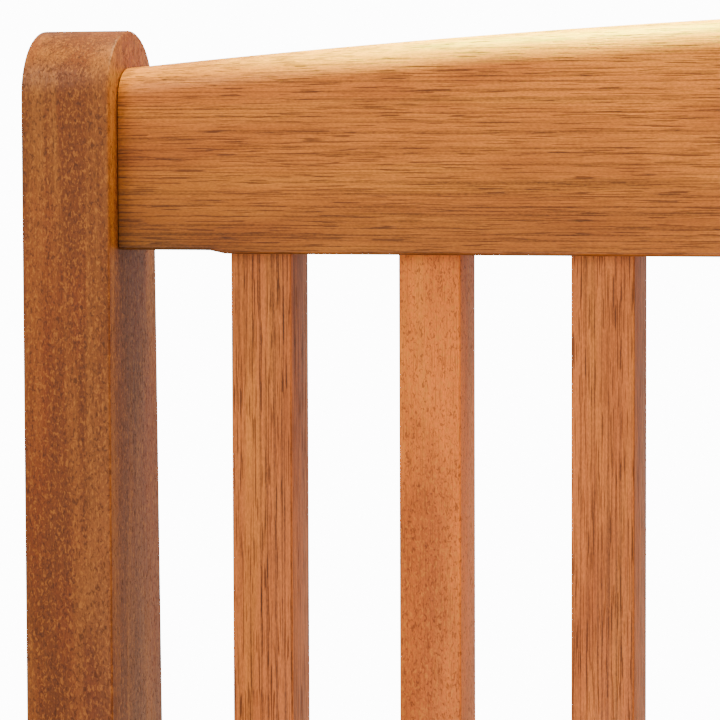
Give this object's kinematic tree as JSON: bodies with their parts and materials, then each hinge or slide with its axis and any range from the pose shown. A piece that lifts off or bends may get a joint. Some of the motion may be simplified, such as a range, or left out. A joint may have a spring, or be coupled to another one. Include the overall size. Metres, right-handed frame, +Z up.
{
  "type": "porch swing",
  "caption": "Slatted acacia porch swing: arched top rail between round-topped posts, arms and seat hung on chains from two ceiling brackets.",
  "frame": {"origin": "on the ceiling face, midway between the two ceiling brackets, in the middle of their four screw holes", "axes": "+Z up, -Y towards the sitter's knees (the way the bench faces), +X to the sitter's left"},
  "size_m": [1.306, 0.642, 1.5015],
  "materials": {
    "post_acacia": "satin",
    "rail_acacia": "satin",
    "back_slat_acacia": "satin",
    "seat_slat_acacia": "satin",
    "frame_acacia": "satin",
    "chain_steel": "satin",
    "eye_bolt_steel": "satin",
    "fastener_steel": "satin",
    "hanger_steel": "satin"
  },
  "bodies": {
    "hangers": {"left_hanger": "hanger_steel", "right_hanger": "hanger_steel", "hanger_bolts": "fastener_steel", "hanger_nuts": "fastener_steel"},
    "left_link": {"left_swing_link": "chain_steel"},
    "left_chains": {"left_upper_chain": "chain_steel", "left_ring": "chain_steel", "left_front_chain": "chain_steel", "left_rear_chain": "chain_steel"},
    "bench": {"left_back_post": "post_acacia", "right_back_post": "post_acacia", "top_rail": "rail_acacia", "lower_back_rail": "rail_acacia", "back_slat_1": "back_slat_acacia", "back_slat_2": "back_slat_acacia", "back_slat_3": "back_slat_acacia", "back_slat_4": "back_slat_acacia", "back_slat_5": "back_slat_acacia", "back_slat_6": "back_slat_acacia", "back_slat_7": "back_slat_acacia", "back_slat_8": "back_slat_acacia", "back_slat_9": "back_slat_acacia", "back_slat_10": "back_slat_acacia", "back_slat_11": "back_slat_acacia", "back_slat_12": "back_slat_acacia", "back_slat_13": "back_slat_acacia", "left_front_leg": "post_acacia", "right_front_leg": "post_acacia", "left_arm": "frame_acacia", "right_arm": "frame_acacia", "left_side_rail": "frame_acacia", "right_side_rail": "frame_acacia", "front_apron": "frame_acacia", "rear_seat_rail": "frame_acacia", "seat_bearer": "frame_acacia", "seat_slat_1": "seat_slat_acacia", "seat_slat_2": "seat_slat_acacia", "seat_slat_3": "seat_slat_acacia", "seat_slat_4": "seat_slat_acacia", "seat_slat_5": "seat_slat_acacia", "seat_slat_6": "seat_slat_acacia", "seat_slat_7": "seat_slat_acacia", "seat_screws": "fastener_steel", "arm_screws": "fastener_steel", "frame_bolts": "fastener_steel", "frame_barrel_nuts": "fastener_steel", "eye_bolts": "eye_bolt_steel", "eye_bolt_nuts": "eye_bolt_steel", "eye_bolt_washers": "eye_bolt_steel"},
    "right_link": {"right_swing_link": "chain_steel"},
    "right_chains": {"right_upper_chain": "chain_steel", "right_ring": "chain_steel", "right_front_chain": "chain_steel", "right_rear_chain": "chain_steel"}
  },
  "joints": [
    {"name": "left_swing", "type": "hinge", "parent": "hangers", "child": "left_link", "pos_m": [-0.628, 0, -0.034], "axis": [1, 0, 0], "range_deg": [-25, 25]},
    {"name": "left_sway", "type": "hinge", "parent": "left_link", "child": "left_chains", "pos_m": [-0.628, 0, -0.0758], "axis": [0, 1, 0], "range_deg": [-3, 3]},
    {"name": "left_eye_turn", "type": "hinge", "parent": "left_chains", "child": "bench", "pos_m": [-0.628, -0.1045, -1.4765], "axis": [0, 1, 0], "range_deg": [-3, 3]},
    {"name": "right_swing", "type": "hinge", "parent": "hangers", "child": "right_link", "pos_m": [0.628, 0, -0.034], "axis": [1, 0, 0], "range_deg": [-25, 25]},
    {"name": "right_sway", "type": "hinge", "parent": "right_link", "child": "right_chains", "pos_m": [0.628, 0, -0.0758], "axis": [0, 1, 0], "range_deg": [-3, 3]}
  ],
  "couplings": [
    {"joint": "left_eye_turn", "follows": "left_sway", "ratio": -1},
    {"joint": "right_swing", "follows": "left_swing", "ratio": 1},
    {"joint": "right_sway", "follows": "left_sway", "ratio": 1}
  ]
}
